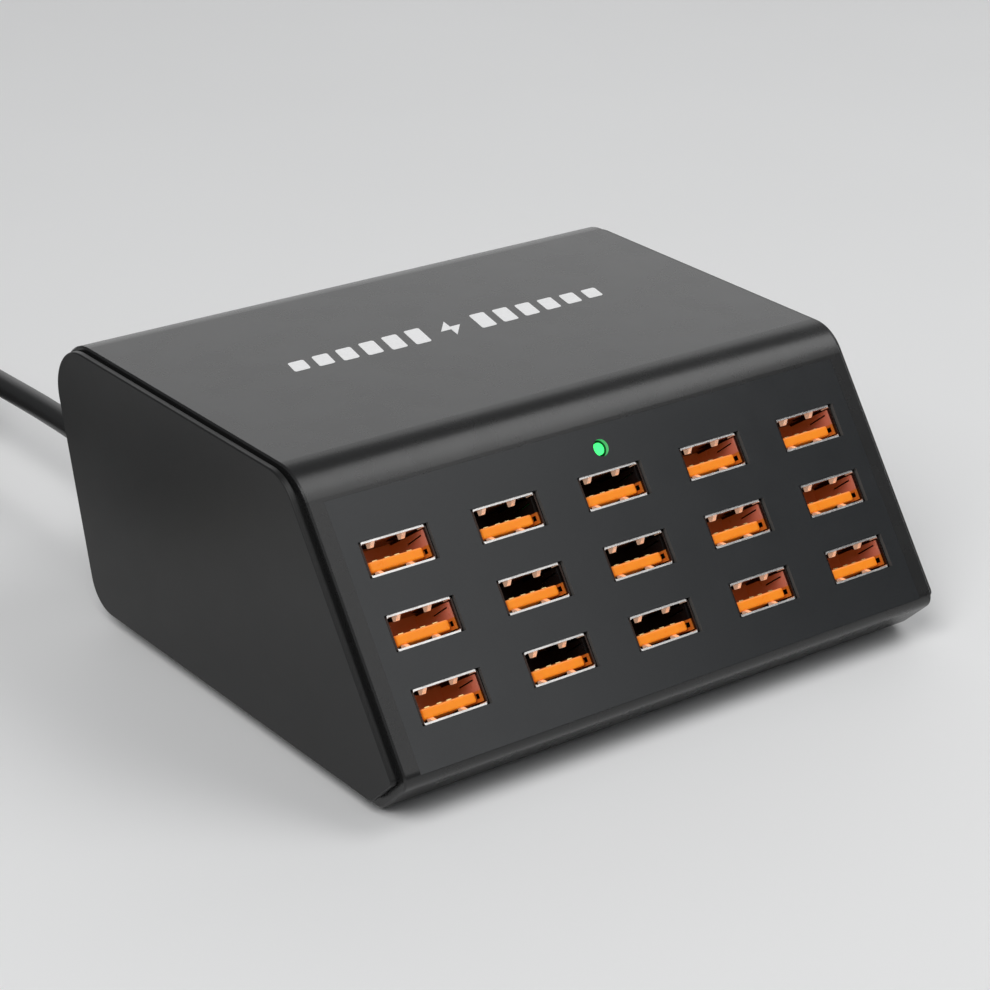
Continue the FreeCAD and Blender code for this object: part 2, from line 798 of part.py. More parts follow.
def power_device(name, x, y):
    """A moulded power package on a steel tab, standing flat against its heat sink."""
    foot = f"{BOARD_TOP} + dims.device_lift"
    tab = block(f"{name}_tab", "dims.tab_gauge", "dims.device_width", "dims.tab_height", x, y, foot)
    mould = block(
        f"{name}_mould", "dims.mould_gauge", "dims.device_width", "dims.mould_height",
        f"{x} - (dims.tab_gauge + dims.mould_gauge) / 2", y, foot,
    )
    legs = [
        block(
            f"{name}_leg_{i}", "0.6 * dims.leg_width", "dims.leg_width", "dims.device_lift + 0.4",
            f"{x} - (dims.tab_gauge + dims.mould_gauge) / 2", f"{y} + {i - 1} * dims.leg_pitch", BOARD_TOP,
        )
        for i in range(3)
    ]
    solid = fuse(f"{name}_package", [tab, mould] + legs)
    hole = rod(
        f"{name}_hole", "dims.screw_hole / 2", "2 * dims.device_width", f"{x} - dims.device_width", y,
        f"{BOARD_TOP} + dims.screw_height", TO_PLUS_X,
    )
    return cut(f"{name}_holed", solid, hole)


def tab_screw(name, x, y):
    """Pan-head screw that clamps a package's tab."""
    height = f"{BOARD_TOP} + dims.screw_height"
    face = f"{x} - dims.tab_gauge / 2"
    head = rod(
        f"{name}_head", "dims.screw_head / 2", "dims.screw_head_height", f"{face} - dims.screw_head_height",
        y, height, TO_PLUS_X,
    )
    shank = rod(
        f"{name}_shank", "dims.screw_shank / 2", "dims.tab_gauge + 0.01", f"{face} - 0.01", y, height,
        TO_PLUS_X,
    )
    return fuse(f"{name}_screw", [head, shank])


def make_power_parts():
    bulk = capacitor("bulk", "dims.bulk_radius", "dims.bulk_height", "dims.bulk_x", "dims.bulk_y")
    node(bulk, "bulk_capacitor")
    cans = [
        capacitor(
            f"output_{i}", "dims.can_radius", "dims.can_height", "dims.can_x",
            f"dims.can_y + {i} * dims.can_pitch",
        )
        for i in range(4)
    ]
    node(group("output_cans", cans), "output_capacitors")
    screws = []
    for name, device, sink, y in (
        ("primary", "switching_transistor", "dims.primary_sink_x", "dims.transistor_y"),
        ("secondary", "output_rectifier", "dims.secondary_sink_x", "dims.rectifier_y"),
    ):
        x = f"{sink} - (dims.sink_gauge + dims.tab_gauge) / 2"
        node(heat_sink(name, sink), f"{name}_heat_sink")
        node(power_device(f"{name}_device", x, y), device)
        screws.append(tab_screw(f"{name}_tab", x, y))
    node(group("tab_screws", screws), "heat_sink_screws")
    ring = doc.addObject("Part::Torus", "choke_ring")
    bind(ring, Radius1="dims.choke_radius", Radius2="dims.choke_thickness / 2")
    ring.Placement = Placement(V(), Rotation(V(0, 1, 0), 90))
    lift = "dims.choke_radius + dims.choke_thickness / 2"
    stand(ring, "dims.choke_x", "dims.choke_y", f"{BOARD_TOP} + {lift}")
    node(ring, "line_filter_choke")
    x, lift = "dims.fuse_x", f"{BOARD_TOP} + dims.fuse_cap_radius"
    body = rod(
        "fuse_body", "dims.fuse_tube_radius", "dims.fuse_length - dims.fuse_cap", x,
        "dims.fuse_y + dims.fuse_cap / 2", lift, TO_PLUS_Y,
    )
    ends = [
        rod(f"fuse_end_{i}", "dims.fuse_cap_radius", "dims.fuse_cap", x, y, lift, TO_PLUS_Y)
        for i, y in enumerate(("dims.fuse_y", "dims.fuse_y + dims.fuse_length - dims.fuse_cap"))
    ]
    node(fuse("fuse_solid", [body] + ends), "mains_fuse")


# ---------------------------------------------------------------- cords and wires

RUN_SHARE = 0.45


def smooth_path(points, radius=None):
    """Straight runs joined by tangent arcs, each as large as its two runs allow."""
    edges = []
    start = points[0]
    for before, corner, after in zip(points, points[1:], points[2:]):
        into = (corner - before).normalize()
        out = (after - corner).normalize()
        turn = into.getAngle(out)
        shorter = min((corner - before).Length, (after - corner).Length)
        bend = radius or RUN_SHARE * shorter / math.tan(turn / 2)
        back = bend * math.tan(turn / 2)
        first = corner - into * back
        last = corner + out * back
        to_centre = (out - into).normalize()
        middle = corner + to_centre * (bend / math.cos(turn / 2) - bend)
        edges.append(Part.LineSegment(start, first).toShape())
        edges.append(Part.Arc(first, middle, last).toShape())
        start = last
        print(f"bend radius {bend:.1f}")
    edges.append(Part.LineSegment(start, points[-1]).toShape())
    return Part.Wire(edges)


def tube(points, diameter, radius=None):
    """A round tube swept along a smooth path, checked against section times length."""
    path = smooth_path(points, radius)
    section = Part.Wire([Part.Circle(points[0], points[1] - points[0], diameter / 2).toShape()])
    solid = path.makePipeShell([section], True, True)
    expected = math.pi * diameter**2 / 4 * path.Length
    if abs(solid.Volume / expected - 1) > 0.01:
        raise RuntimeError(f"tube volume {solid.Volume:.1f}, expected {expected:.1f}")
    return solid


def shaped(name, label, shape):
    """A sub-part whose shape is made by Part's own functions."""
    item = doc.addObject("Part::Feature", name)
    item.Shape = shape
    return node(item, label)


def make_gland():
    """Strain relief: inner flange, neck through the back wall, collar and slotted tapered boot."""
    x, z = "dims.cord_side", "dims.cord_lift"
    root = "(dims.back_line - dims.wall)"
    flange = rod(
        "gland_flange", "dims.boot_collar / 2", "dims.flange_depth + dims.boot_collar_length", x,
        f"{root} - dims.flange_depth", z, TO_PLUS_Y,
    )
    boot = taper(
        "boot_cone", "dims.boot_root / 2", "dims.boot_tip / 2",
        f"dims.boot_end - {root} - dims.boot_collar_length", x,
        f"{root} + dims.boot_collar_length", z, TO_PLUS_Y,
    )
    slab = group("wall_slab_turned", [block("wall_slab", "dims.slab_size", "dims.slab_size", "dims.wall")])
    slab.Placement = Placement(V(size("cord_side"), 0, 0), Rotation()).multiply(BACK)
    neck = rod(
        "gland_neck_rod", "dims.gland_neck / 2", "dims.slab_size", x, f"{root} - dims.slab_size / 2", z,
        TO_PLUS_Y,
    )
    wall_ring = cut("wall_ring", slab, neck)
    slots = []
    for i in range(6):
        along = f"{root} + dims.boot_collar_length + dims.first_slot + {i} * dims.slot_pitch"
        before = f"{along} - dims.slot_margin"
        ring = rod(f"slot_ring_{i}", "dims.boot_collar / 2", "dims.slot_width", x, along, z, TO_PLUS_Y)
        depth = "dims.slot_width + 2 * dims.slot_margin"
        core = rod(f"slot_core_{i}", "dims.boot_tip / 2 - 0.2", depth, x, before, z, TO_PLUS_Y)
        if i % 2:
            bridge = block(f"slot_bridge_{i}", "dims.boot_collar + 2", depth, "dims.slot_bridge")
            stand(bridge, f"{x} - dims.boot_collar / 2 - 1", before, f"{z} - dims.slot_bridge / 2")
        else:
            bridge = block(f"slot_bridge_{i}", "dims.slot_bridge", depth, "dims.boot_collar + 2")
            stand(bridge, f"{x} - dims.slot_bridge / 2", before, f"{z} - dims.boot_collar / 2 - 1")
        slots.append(cut(f"slot_{i}", ring, fuse(f"slot_keep_{i}", [core, bridge])))
    solid = fuse("gland_solid", [flange, boot])
    tools = fuse("gland_tools", [wall_ring, doc.getObject("lead")] + slots)
    node(cut("gland", solid, tools), "strain_relief")


def make_cord():
    """Lead from the boot to the coil, the coil's outer shape, and the tail from it to the plug."""
    d = size("cord_diameter")
    side, lift = size("cord_side"), size("cord_lift")
    coil = V(size("coil_x"), size("coil_y"), 0)
    meet_y = coil.y - size("coil_meet")
    lead = [V(side, size("boot_end"), lift)]
    lead += [V(side, y, z) for y, z in LEAD_BENDS]
    lead.append(V(side, meet_y, size("coil_height") - d / 2))
    lead_tube = tube(lead, d)
    shaped("lead", "power_cord", lead_tube)
    tail_x = coil.x - size("coil_turn") - size("coil_width") / 2 + d / 2
    tail = [V(tail_x, meet_y, d / 2)]
    tail += [V(tail_x, y, z) for y, z in TAIL_BENDS]
    tail.append(V(tail_x, size("plug_rear"), size("plug_height") / 2))
    shaped("tail", "power_cord_tail", tube(tail, d))
    inner = size("coil_turn") - size("coil_width") / 2
    outer = size("coil_turn") + size("coil_width") / 2
    depth = size("coil_height")
    ring = Part.makeCylinder(outer, depth, coil).cut(Part.makeCylinder(inner, depth, coil))
    rims = [e for e in ring.Edges if isinstance(e.Curve, Part.Circle)]
    ring = ring.makeFillet(0.45 * d, rims)
    room = size("coil_room")
    length = size("coil_turn")
    for end in (lead[-1], tail[0]):
        corner = V(end.x - d / 2 - room, end.y - length, end.z - d / 2 - room)
        ring = ring.cut(Part.makeBox(d + 2 * room, length, d + 2 * room, corner))
    ring = ring.cut(lead_tube)
    shaped("coil", "power_cord_coil", ring)


def make_plug():
    """Two-blade mains plug with a short moulded boot, lying flat beside the coil."""
    x = "(dims.coil_x - dims.coil_turn - dims.coil_width / 2 + dims.cord_diameter / 2)"
    rear, z = "dims.plug_rear", "dims.plug_height / 2"
    boot = taper(
        "plug_boot_cone", "dims.plug_boot_root / 2", "dims.plug_boot_tip / 2", "dims.plug_boot", x,
        f"{rear} - dims.plug_boot", z, TO_PLUS_Y,
    )
    body = block(
        "plug_block", "dims.plug_width", "dims.plug_length", "dims.plug_height", x,
        f"{rear} - dims.plug_boot - dims.plug_length / 2",
    )
    corner = size("plug_corner")
    body_round = rounded("plug_block_round", body, corner, lambda edge: along_z(edge) or along_y(edge))
    node(cut("plug", fuse("plug_solid", [boot, body_round]), doc.getObject("tail")), "plug_body")
    blades = [
        block(
            f"blade_{i}", "dims.blade_gauge", "dims.blade_length", "dims.blade_width",
            f"{x} + {side} * dims.blade_spacing / 2",
            f"{rear} - dims.plug_boot - dims.plug_length - dims.blade_length / 2",
            f"{z} - dims.blade_width / 2",
        )
        for i, side in enumerate((-1, 1))
    ]
    node(group("blades", blades), "plug_blades")


def make_wires():
    """Mains wires from the gland to the board, and the output wires up to the socket board."""
    side, lift = size("cord_side"), size("cord_lift")
    floor = size("foot_height") + size("wall") + size("power_board_lift") + size("board_gauge")
    start_y = size("back_line") - size("wall") - size("flange_depth")
    mains = []
    for offset in MAINS_WIRES:
        foot = V(side + offset * size("mains_spread"), start_y - size("mains_run"), floor)
        points = [
            V(side + offset, start_y, lift),
            V(side + offset, start_y - size("mains_run") / 2, lift),
            foot + V(0, 0, size("mains_rise")),
            foot,
        ]
        mains.append(tube(points, size("mains_wire"), size("wire_bend")))
    shaped("mains_pair", "mains_wires", Part.makeCompound(mains))
    back_of_board = -size("mouth_recess") - size("shell_depth") - size("board_gauge")
    board = on_face(0, size("first_row") - size("output_drop"), back_of_board)
    out = board.Rotation.multVec(V(0, 0, -1))
    leads = []
    for x in OUTPUT_WIRES:
        end = V(x, board.Base.y, board.Base.z)
        foot = V(x, size("power_board_front") + size("output_setback"), floor)
        points = [foot, foot + V(0, 0, size("output_rise")), end + out * size("output_reach"), end]
        leads.append(tube(points, size("output_wire"), size("wire_bend")))
    shaped("output_leads", "output_wires", Part.makeCompound(leads))


# ---------------------------------------------------------------- build, test and write

make_housing()
make_panel()
make_caps()
make_feet()
make_sockets()
make_lamp()
make_boards()
make_transformer()
make_power_parts()
make_cord()
make_gland()
make_plug()
make_wires()
doc.recompute()

for item in doc.Objects:
    if "Invalid" in item.State or "Error" in item.State:
        raise RuntimeError(f"{item.Label} failed: {item.State}")
for item in nodes:
    if item.Shape.isNull() or not item.Shape.isValid():
        raise RuntimeError(f"{item.Label} has no valid shape")

os.makedirs("parts", exist_ok=True)
for item in nodes:
    item.Shape.exportStep(f"parts/{item.Label}.step")
case = Part.makeCompound([item.Shape for item in nodes if item.Label not in ON_CORD]).BoundBox
print(f"{len(nodes)} sub-parts; case x {case.XMin:.3f} to {case.XMax:.3f},"
      f" y {case.YMin:.3f} to {case.YMax:.3f}, z {case.ZMin:.3f} to {case.ZMax:.3f}")
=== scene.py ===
"""Looks for a fifteen-port charging station.

Finishes for every CAD part, the printed mark, the cord, the floor, the light and the camera.
Lengths are in metres; MM turns a number of millimetres into metres.
"""

import math

import bmesh
import bpy
from mathutils import Matrix, Vector


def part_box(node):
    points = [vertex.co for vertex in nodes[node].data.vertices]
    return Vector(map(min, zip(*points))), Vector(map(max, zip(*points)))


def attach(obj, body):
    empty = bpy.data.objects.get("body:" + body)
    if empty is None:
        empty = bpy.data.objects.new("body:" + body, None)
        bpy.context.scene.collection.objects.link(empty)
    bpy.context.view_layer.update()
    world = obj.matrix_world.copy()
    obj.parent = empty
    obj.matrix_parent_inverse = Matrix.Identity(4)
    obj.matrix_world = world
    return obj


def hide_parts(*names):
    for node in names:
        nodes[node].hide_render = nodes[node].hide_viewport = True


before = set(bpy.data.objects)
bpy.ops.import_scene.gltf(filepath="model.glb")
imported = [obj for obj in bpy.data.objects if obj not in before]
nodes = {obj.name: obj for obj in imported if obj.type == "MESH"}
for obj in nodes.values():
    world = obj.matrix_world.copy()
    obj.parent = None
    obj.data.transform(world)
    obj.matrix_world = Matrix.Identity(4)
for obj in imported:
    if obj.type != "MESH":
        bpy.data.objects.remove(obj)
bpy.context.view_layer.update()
MM = 0.001

COLUMNS = range(1, 6)
ROWS = range(1, 4)

# ---------------------------------------------------------------- finishes


class Finish:
    """A Principled material whose detail comes from noise in the object's own space, in metres."""

    def __init__(self, name, colour, roughness, **sockets):
        self.material = bpy.data.materials.new(name)
        self.material.use_nodes = True
        self.tree = self.material.node_tree
        self.shader = self.tree.nodes["Principled BSDF"]
        self.coordinates = self.add("TexCoord").outputs["Object"]
        self.set("Base Color", (*colour, 1.0))
        self.set("Roughness", roughness)
        for socket, value in sockets.items():
            self.set(socket.replace("_", " "), value)
        self.heights = []

    def add(self, kind, **settings):
        node = self.tree.nodes.new("ShaderNode" + kind)
        for key, value in settings.items():
            setattr(node, key, value)
        return node

    def set(self, socket, value):
        self.shader.inputs[socket].default_value = value

    def link(self, output, target):
        self.tree.links.new(output, target)

    def noise(self, per_mm, detail=3.0, rough=0.55, stretch=(1, 1, 1), turn=(0, 0, 0)):
        """Noise with about per_mm cells to a millimetre."""
        mapping = self.add("Mapping")
        mapping.inputs["Scale"].default_value = [per_mm / MM * s for s in stretch]
        mapping.inputs["Rotation"].default_value = turn
        texture = self.add("TexNoise")
        texture.inputs["Scale"].default_value = 1.0
        texture.inputs["Detail"].default_value = detail
        texture.inputs["Roughness"].default_value = rough
        self.link(self.coordinates, mapping.inputs["Vector"])
        self.link(mapping.outputs["Vector"], texture.inputs["Vector"])
        return texture.outputs["Fac"]

    def spread(self, value, low, high, start=0.3, end=0.7):
        """Maps the value's range start..end to low..high."""
        node = self.add("MapRange")
        for socket, number in (("From Min", start), ("From Max", end), ("To Min", low), ("To Max", high)):
            node.inputs[socket].default_value = number
        self.link(value, node.inputs["Value"])
        return node.outputs["Result"]

    def sheen(self, value, low, high):
        """Lets the value vary the roughness between low and high."""
        self.link(self.spread(value, low, high), self.shader.inputs["Roughness"])
        return self

    def tint(self, value, first, second, start=0.3, end=0.7):
        """Mixes two colours by the value and returns the mixed colour."""
        mix = self.add("Mix", data_type="RGBA")
        mix.inputs["A"].default_value = (*first, 1.0)
        mix.inputs["B"].default_value = (*second, 1.0)
        self.link(self.spread(value, 0.0, 1.0, start, end), mix.inputs["Factor"])
        return mix.outputs["Result"]

    def colour(self, output):
        self.link(output, self.shader.inputs["Base Color"])
        return self

    def relief(self, value, depth_mm):
        """Adds the value as relief of that depth on top of any earlier relief."""
        bump = self.add("Bump")
        bump.inputs["Distance"].default_value = depth_mm * MM
        self.link(value, bump.inputs["Height"])
        if self.heights:
            self.link(self.heights[-1], bump.inputs["Normal"])
        self.heights.append(bump.outputs["Normal"])
        self.link(bump.outputs["Normal"], self.shader.inputs["Normal"])
        return self

    def along(self, axis):
        """One coordinate of the point, in metres."""
        split = self.add("SeparateXYZ")
        self.link(self.coordinates, split.inputs["Vector"])
        return split.outputs[axis]


def moulded(name, colour, roughness, grain_mm, swing=0.02, **sockets):
    """Moulded plastic: fine spark grain, a slow unevenness of gloss and a faint mottle."""
    finish = Finish(name, colour, roughness, **sockets)
    slow = finish.noise(0.12, detail=5.0)
    grain = finish.noise(1.0 / grain_mm, detail=2.0, rough=0.6)
    light = tuple(min(1.0, c * 1.15) for c in colour)
    dark = tuple(c * 0.85 for c in colour)
    finish.colour(finish.tint(grain, dark, light))
    finish.sheen(slow, roughness - swing, roughness + swing)
    finish.relief(finish.noise(0.35, detail=2.0), 0.003)
    finish.relief(grain, 0.004)
    return finish


def metal(name, colour, low, high, stretch=(1, 1, 1), depth=0.003):
    """Metal with fine drawn lines along its least stretched axis."""
    finish = Finish(name, colour, low, Metallic=1.0)
    lines = finish.noise(4.0, detail=3.0, stretch=stretch)
    finish.sheen(lines, low, high)
    finish.relief(lines, depth)
    patches = finish.noise(0.4, detail=3.0)
    finish.colour(finish.tint(patches, tuple(0.86 * c for c in colour), colour))
    return finish


def paint(finish, names):
    for name in names:
        mesh = nodes[name].data
        mesh.materials.clear()
        mesh.materials.append(finish.material)


def sockets_named(part, columns=COLUMNS):
    return [f"usb_{part}_r{row}_c{column}" for row in ROWS for column in columns]


# colours: linear red, green, blue
CASE = (0.013, 0.013, 0.013)
# painted highlight: paler peach for the tongue's upward faces, standing in for light from above
PEACH_HIGHLIGHT = (1.0, 0.34, 0.09)
ORANGE = (1.0, 0.3, 0.006)
# painted half shade: a darker orange for the lower cheeks beside the tongue
ORANGE_HALF_SHADE = (0.62, 0.16, 0.02)
# painted shade: reddish brown for the upper cheeks and the block behind in columns one, four and five
BROWN_SHADE = (0.62, 0.19, 0.13)
# painted shade: near black for the upper cheeks and the block behind in columns two and three
BLACK_SHADE = (0.006, 0.005, 0.005)
# painted shade: dark brownish steel for the shells' side walls and deep inside
SHADED_STEEL = (0.05, 0.035, 0.03)
# painted highlight: paler grey for the panel's window walls that face the key light on the left
LEFT_WALL_HIGHLIGHT = (0.11, 0.105, 0.1)

# directions of the sloping face: out of it and up it
FACE_SLOPE = math.radians(54.13)
FACE_NORMAL = (0.0, -math.sin(FACE_SLOPE), math.cos(FACE_SLOPE))
UP_FACE = (0.0, math.cos(FACE_SLOPE), math.sin(FACE_SLOPE))

# along X, from the middle of a column of sockets
COLUMN_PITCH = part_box("usb_shell_r1_c2")[0].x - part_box("usb_shell_r1_c1")[0].x
CHEEK_START = 5.8 * MM
SPRING_END = 6.3 * MM
SIDE_START = 6.36 * MM

# along UP_FACE: the lowest row's middle, then distances from a row's middle
FIRST_ROW = -13.46 * MM
ROW_PITCH = 12.81 * MM
TONGUE_TOP = -0.4 * MM
SPRING_REACH = 2.72 * MM

# along FACE_NORMAL
BLOCK_FRONT = 37.2 * MM
CREST_BACK = 46.9 * MM

LAMP_CENTRE = (0.0, -28.52 * MM, 44.37 * MM)
LAMP_REACH = 1.62 * MM

# strengths of the faint glow that stands for light caught inside the small openings
TONGUE_GLOW = 0.12
LAMP_GLOW = 0.45
SPRING_GLOW = 0.4


def beyond(finish, value, limit, operation="GREATER_THAN"):
    """One where the value is past the limit, otherwise zero."""
    test = finish.add("Math", operation=operation)
    finish.link(value, test.inputs[0])
    test.inputs[1].default_value = limit
    return test.outputs[0]


def both(finish, first, second):
    """The product of two values, which is one only where both masks are one."""
    product = finish.add("Math", operation="MULTIPLY")
    finish.link(first, product.inputs[0])
    finish.link(second, product.inputs[1])
    return product.outputs[0]


def painted_glow(finish, mask, colour, strength, rest=0.0):
    """Faint glow of painted light, of that strength where the mask is one, and of the rest strength
    elsewhere.
    """
    finish.set("Emission Color", (*colour, 1.0))
    finish.link(finish.spread(mask, rest, strength, 0.0, 1.0), finish.shader.inputs["Emission Strength"])


def from_column(finish):
    """Distance along X from the middle of the nearest column of sockets."""
    across = finish.add("Math", operation="PINGPONG")
    across.inputs[1].default_value = COLUMN_PITCH / 2
    finish.link(finish.along("X"), across.inputs[0])
    return across.outputs[0]


def reach(finish, vector, direction):
    """How far the vector reaches in the direction."""
    dot = finish.add("VectorMath", operation="DOT_PRODUCT")
    finish.link(vector, dot.inputs[0])
    dot.inputs[1].default_value = direction
    return dot.outputs["Value"]


def from_row(finish):
    """Height up the sloping face, wrapped to one row pitch round the lowest row's middle."""
    wrap = finish.add("Math", operation="WRAP")
    wrap.inputs[1].default_value = FIRST_ROW + ROW_PITCH / 2
    wrap.inputs[2].default_value = FIRST_ROW - ROW_PITCH / 2
    finish.link(reach(finish, finish.coordinates, UP_FACE), wrap.inputs[0])
    return wrap.outputs[0]


def choose(finish, mask, plain, masked):
    """The plain colour where the mask is zero and the masked one where it is one."""
    mix = finish.add("Mix", data_type="RGBA")
    finish.link(mask, mix.inputs["Factor"])
    for socket, value in (("A", plain), ("B", masked)):
        if isinstance(value, tuple):
            mix.inputs[socket].default_value = (*value, 1.0)
        else:
            finish.link(value, mix.inputs[socket])
    return mix.outputs["Result"]


def orange_finish(name, painted_shade):
    """Glossy orange tongue with a painted highlight making it paler on top; the lower cheeks take a
    half-shaded orange, and the cheeks' upper part and the block behind take the painted shade.
    """
    finish = Finish(name, ORANGE, 0.33, Subsurface_Weight=0.1, Specular_IOR_Level=0.3)
    finish.set("Subsurface Radius", (1.2 * MM, 0.5 * MM, 0.2 * MM))
    flow = finish.noise(0.5, detail=3.0)
    front = finish.tint(flow, (0.97, 0.26, 0.006), ORANGE)
    normal = finish.add("NewGeometry").outputs["Normal"]
    # painted highlight: faces of the tongue that point up the sloping face take the paler peach
    tongue = choose(finish, beyond(finish, reach(finish, normal, UP_FACE), 0.5), front, PEACH_HIGHLIGHT)
    low = beyond(finish, from_row(finish), FIRST_ROW + TONGUE_TOP, "LESS_THAN")
    # painted shade on the cheeks: half-shaded orange low down, the darker painted shade above
    side = choose(finish, low, painted_shade, ORANGE_HALF_SHADE)
    cheek = beyond(finish, from_column(finish), CHEEK_START)
    block = beyond(finish, reach(finish, finish.coordinates, FACE_NORMAL), BLOCK_FRONT, "LESS_THAN")
    finish.colour(choose(finish, block, choose(finish, cheek, tongue, side), painted_shade))
    # painted light: the tongue glows at full strength, the cheeks and block behind at a strength scaled
    # by their painted shade
    either = finish.add("Math", operation="MAXIMUM")
    finish.link(cheek, either.inputs[0])
    finish.link(block, either.inputs[1])
    shaded_glow = TONGUE_GLOW * sum(painted_shade) / 3
    painted_glow(finish, either.outputs[0], (1.0, 0.24, 0.03), shaded_glow, rest=TONGUE_GLOW)
    finish.sheen(flow, 0.26, 0.4)
    finish.relief(finish.noise(3.0, detail=2.0), 0.006)
    return finish


def panel_finish():
    """Satin plate with a painted highlight on the window walls that face left and painted green lamp
    light inside the lamp's hole.
    """
    finish = moulded("panel_satin", (0.017, 0.0185, 0.02), 0.24, 0.12)
    satin = finish.shader.inputs["Base Color"].links[0].from_socket
    normal = finish.add("NewGeometry").outputs["Normal"]
    # painted highlight: walls facing left, towards the key light, are paler
    lit_wall = beyond(finish, reach(finish, normal, (-1.0, 0.0, 0.0)), 0.5)
    finish.colour(choose(finish, lit_wall, satin, LEFT_WALL_HIGHLIGHT))
    # painted light: the panel within LAMP_REACH of the lamp glows green, standing for the lamp's light on
    # the hole's wall
    gap = finish.add("VectorMath", operation="DISTANCE")
    finish.link(finish.coordinates, gap.inputs[0])
    gap.inputs[1].default_value = LAMP_CENTRE
    near_lamp = beyond(finish, gap.outputs["Value"], LAMP_REACH, "LESS_THAN")
    painted_glow(finish, near_lamp, (0.08, 0.75, 0.2), LAMP_GLOW)
    return finish


def shell_finish():
    """Bright tinned steel with painted shade on the side walls and deep inside, and a painted orange
    highlight glowing on the springs.
    """
    finish = metal("socket_steel", (0.9, 0.88, 0.86), 0.2, 0.34, stretch=(0.15, 1, 1))
    bright = finish.shader.inputs["Base Color"].links[0].from_socket
    depth = reach(finish, finish.coordinates, FACE_NORMAL)
    side = beyond(finish, from_column(finish), SIDE_START)
    deep = beyond(finish, depth, CREST_BACK, "LESS_THAN")
    # painted shade: the side walls and the part deep inside take the dark steel
    finish.colour(choose(finish, deep, choose(finish, side, bright, SHADED_STEEL), SHADED_STEEL))
    # painted highlight: the spring crests near the socket mouth glow pale orange
    spring = finish.add("Math", operation="COMPARE")
    finish.link(from_row(finish), spring.inputs[0])
    spring.inputs[1].default_value = FIRST_ROW
    spring.inputs[2].default_value = SPRING_REACH
    inner = beyond(finish, from_column(finish), SPRING_END, "LESS_THAN")
    spring_crest_highlight = both(finish, both(finish, spring.outputs[0], inner), beyond(finish, depth, CREST_BACK))
    painted_glow(finish, spring_crest_highlight, (1.0, 0.6, 0.4), SPRING_GLOW)
    return finish


def dress_case():
    caps = ["left_end_cap", "right_end_cap"]
    paint(moulded("case_black", CASE, 0.27, 0.22), ["main_housing"])
    paint(moulded("cap_black", CASE, 0.36, 0.22, Specular_IOR_Level=0.3), caps)
    paint(panel_finish(), ["front_panel"])
    paint(moulded("foot_rubber", (0.03, 0.03, 0.03), 0.85, 0.3), ["rubber_feet"])


def dress_sockets():
    paint(shell_finish(), sockets_named("shell"))
    # insulators with painted shade inside: brown in columns one, four and five, black in two and three
    paint(orange_finish("socket_orange", BROWN_SHADE), sockets_named("insulator", (1, 4, 5)))
    paint(orange_finish("socket_orange_black", BLACK_SHADE), sockets_named("insulator", (2, 3)))
    paint(metal("gold_contact", (1.0, 0.72, 0.32), 0.2, 0.32), ["usb_contacts"])
    lamp = Finish("green_lamp", (0.05, 0.8, 0.16), 0.3, Emission_Strength=1.0)
    lamp.set("Emission Color", (0.04, 1.0, 0.2, 1.0))
    lamp.relief(lamp.noise(2.0), 0.01)
    paint(lamp, ["light_guide", "status_led"])


def dress_cord():
    rubber = moulded("cord_black", (0.018, 0.018, 0.018), 0.38, 0.5)
    paint(rubber, ["strain_relief"])
    paint(moulded("plug_black", (0.02, 0.02, 0.02), 0.4, 0.25), ["plug_body"])
    paint(metal("blade_brass", (0.85, 0.78, 0.62), 0.2, 0.34), ["plug_blades"])
    return rubber


def dress_inside():
    board = moulded("board_green", (0.02, 0.16, 0.06), 0.35, 0.6)
    paint(board, ["port_board", "power_board"])
    paint(moulded("ferrite", (0.045, 0.045, 0.048), 0.6, 0.2), ["transformer_core", "line_filter_choke"])
    paint(moulded("winding_tape", (0.72, 0.5, 0.04), 0.4, 1.2), ["transformer_winding"])
    sleeve = moulded("capacitor_sleeve", (0.02, 0.03, 0.09), 0.3, 1.0)
    paint(sleeve, ["bulk_capacitor", "output_capacitors"])
    aluminium = metal("heat_sink_aluminium", (0.75, 0.76, 0.77), 0.35, 0.5, stretch=(0.1, 1, 1))
    paint(aluminium, ["primary_heat_sink", "secondary_heat_sink"])
    package = moulded("package_black", (0.02, 0.02, 0.022), 0.55, 0.15)
    paint(package, ["switching_transistor", "output_rectifier"])
    paint(metal("screw_steel", (0.7, 0.7, 0.7), 0.25, 0.4), ["heat_sink_screws"])
    paint(moulded("fuse_ceramic", (0.75, 0.73, 0.68), 0.4, 0.3), ["mains_fuse"])
    wire = moulded("wire_insulation", (0.5, 0.03, 0.02), 0.4, 0.6)
    paint(wire, ["mains_wires", "output_wires"])


# ---------------------------------------------------------------- cord

CORD = 5 * MM
EXIT = (-41 * MM, 72.6 * MM, 18.3 * MM)
LEAD = [
    EXIT,
    (-41 * MM, 91 * MM, 19 * MM),
    (-41 * MM, 120 * MM, 17.8 * MM),
    (-41 * MM, 136 * MM, 17.5 * MM),
]
TAIL = [
    (-104 * MM, 136 * MM, 2.5 * MM),
    (-104 * MM, 127 * MM, 2.5 * MM),
    (-104 * MM, 118 * MM, 5.3 * MM),
    (-104 * MM, 110 * MM, 7 * MM),
]
COIL_X = -72.5 * MM
COIL_Y = 144 * MM
COIL_INNER = 21 * MM
COIL_OUTER = 31.5 * MM
COIL_TURNS = 8.5
POINTS_A_TURN = 16
SPIRAL_TURNS = 1.9
DROP_TURNS = 0.3


def smooth(share):
    return share * share * (3 - 2 * share)


